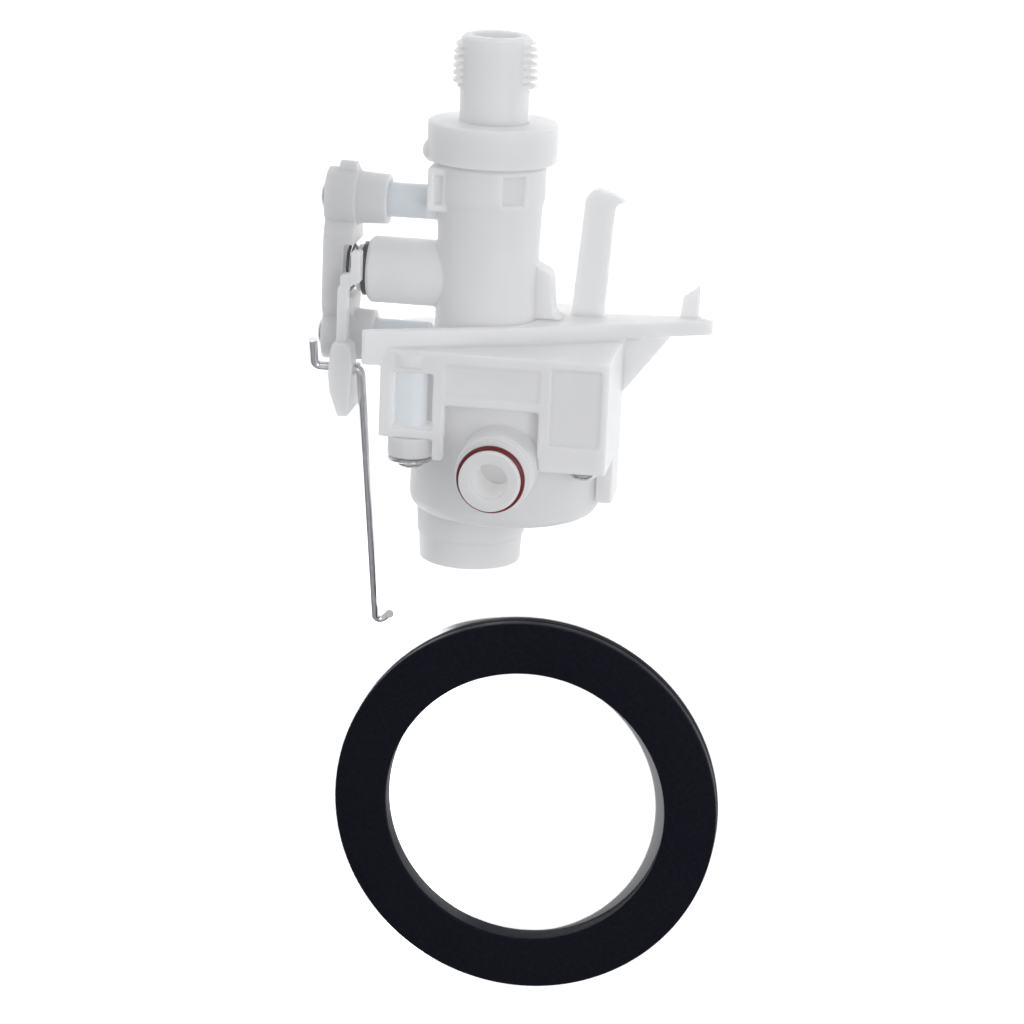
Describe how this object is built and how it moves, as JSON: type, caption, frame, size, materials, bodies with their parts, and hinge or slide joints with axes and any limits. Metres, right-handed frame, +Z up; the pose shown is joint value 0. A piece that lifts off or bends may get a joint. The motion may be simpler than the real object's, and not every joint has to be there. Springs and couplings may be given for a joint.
{
  "type": "toilet fill valve",
  "caption": "Plastic water valve with threaded inlet, side lever and bent wire link, mounting plate, outlet chamber with push-in nozzle, and a flat rubber flange seal",
  "frame": {"origin": "middle of the kit's footprint on the bench it lies on", "axes": "+Y up the inlet pipe, away from the seal ring; +Z up from the bench, out of the valve's front; +X to the right, away from the lever"},
  "size_m": [0.1087, 0.2636, 0.0666],
  "materials": {
    "milky_plastic": "satin moulded natural polypropylene, milky and slightly translucent",
    "white_plastic": "satin white moulded acetal",
    "black_rubber": "moulded rubber",
    "seal_rubber": "matte near-black moulded rubber",
    "red_rubber": "dark red silicone",
    "bright_steel": "bright drawn stainless wire and pressed heads",
    "dark_steel": "dark spring steel",
    "brass": "turned brass"
  },
  "bodies": {
    "valve": {"valve_body": "milky_plastic", "mounting_plate": "milky_plastic", "inlet_fitting": "milky_plastic", "inlet_cap": "milky_plastic", "inlet_gasket": "black_rubber", "inlet_screen": "bright_steel", "flow_washer": "black_rubber", "seat_ring": "brass", "stem_gland": "white_plastic", "stem_o_ring_outer": "black_rubber", "stem_o_ring_inner": "black_rubber", "thrust_washer": "dark_steel", "torsion_spring": "dark_steel", "end_cover": "milky_plastic", "cover_screw_upper": "bright_steel", "cover_screw_lower": "bright_steel", "outlet_housing": "milky_plastic", "chamber_gasket": "black_rubber", "outlet_nozzle": "milky_plastic", "nozzle_o_ring": "red_rubber", "housing_screw_left": "bright_steel", "housing_screw_right": "bright_steel", "housing_screw_rear": "bright_steel", "housing_washer_left": "bright_steel", "housing_washer_right": "bright_steel", "housing_washer_rear": "bright_steel"},
    "lever": {"actuator_lever": "white_plastic", "cross_shaft": "white_plastic"},
    "poppet_group": {"poppet": "white_plastic", "poppet_seal": "black_rubber", "cam_follower": "white_plastic", "poppet_spring": "bright_steel"},
    "float_group": {"vacuum_float": "white_plastic", "float_seal": "black_rubber"},
    "link": {"wire_link": "bright_steel"},
    "seal": {"flange_seal": "seal_rubber"}
  },
  "joints": [
    {"name": "lever_pull", "type": "hinge", "parent": "valve", "child": "lever", "pos_m": [-0.0431, 0.07015, 0.0245], "axis": [-1, 0, 0], "range_deg": [0, 40], "stiffness_Nm_per_rad": 0.08, "springref_deg": -17.19},
    {"name": "poppet_lift", "type": "slide", "parent": "valve", "child": "poppet_group", "axis": [0, 1, 0], "range_m": [0, 0.00275]},
    {"name": "float_travel", "type": "slide", "parent": "valve", "child": "float_group", "axis": [0, 1, 0], "range_m": [0, 0.004]},
    {"name": "link_swing", "type": "hinge", "parent": "lever", "child": "link", "pos_m": [-0.0471, 0.04605, 0.0345], "axis": [-1, 0, 0], "range_deg": [-30, 40]},
    {"name": "seal_lift", "type": "slide", "parent": "valve", "child": "seal", "axis": [0, 0, 1], "range_m": [0, 0.05]}
  ],
  "couplings": [
    {"joint": "poppet_lift", "follows": "lever_pull", "m_per_rad": 0.003919}
  ]
}
